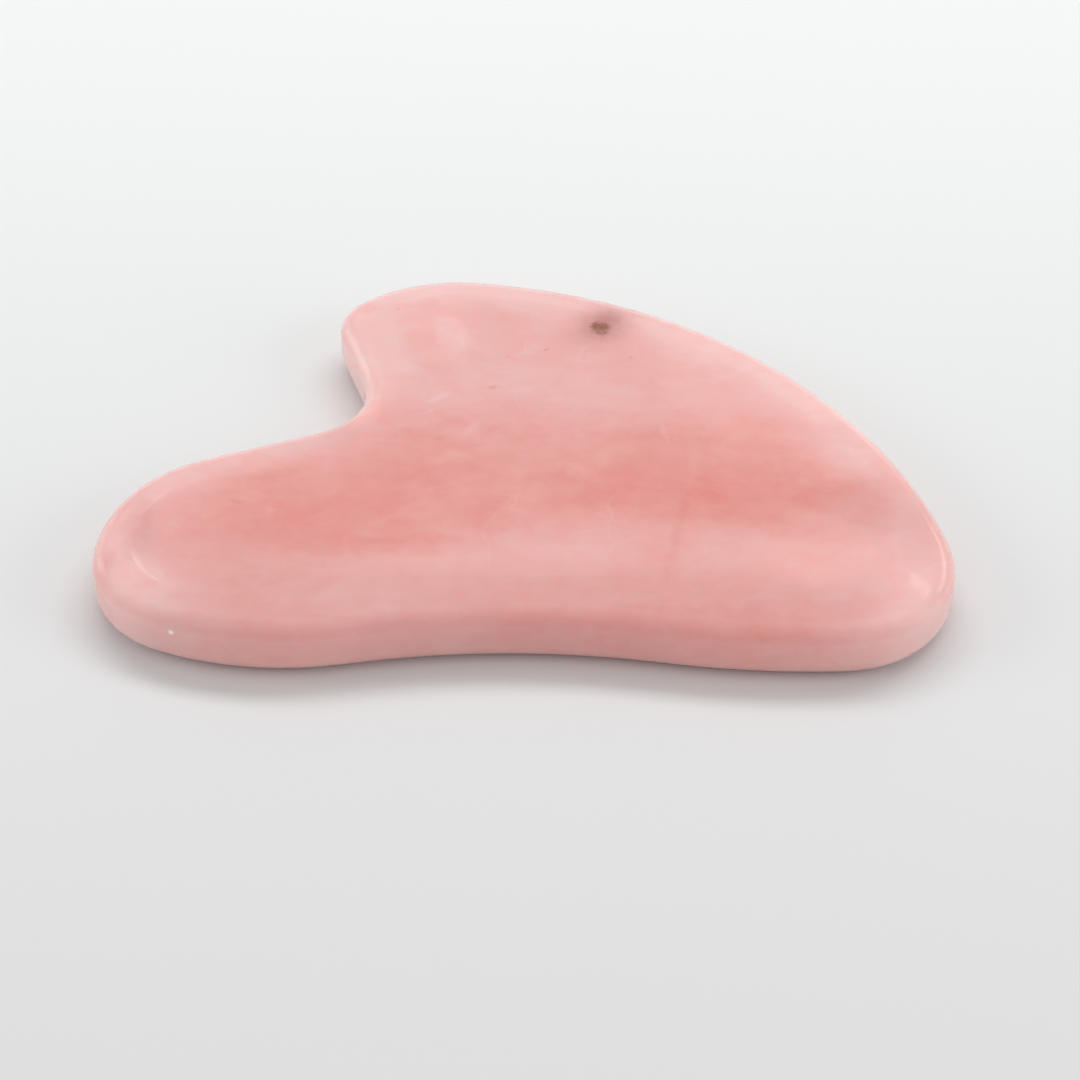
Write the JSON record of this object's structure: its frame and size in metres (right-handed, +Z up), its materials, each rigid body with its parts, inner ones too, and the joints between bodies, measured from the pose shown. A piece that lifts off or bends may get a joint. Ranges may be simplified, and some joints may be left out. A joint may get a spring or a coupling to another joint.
{
  "type": "gua sha scraper",
  "caption": "Flat polished rose quartz massage plate in a lopsided heart outline, with a notch that seats over the jaw and smooth rounded edges that glide over skin.",
  "frame": {"origin": "on the surface that the plate rests on, under the middle of its bounding box", "axes": "+X along the plate's length, from the small lobe's nose to the large lobe's nose; +Y from the long edge with the shallow waist to the crown; +Z up out of the broad face"},
  "size_m": [0.082, 0.0538, 0.0068],
  "materials": {
    "rose_quartz": "polished"
  },
  "bodies": {
    "root": {"scraper_body": "rose_quartz"}
  },
  "joints": []
}
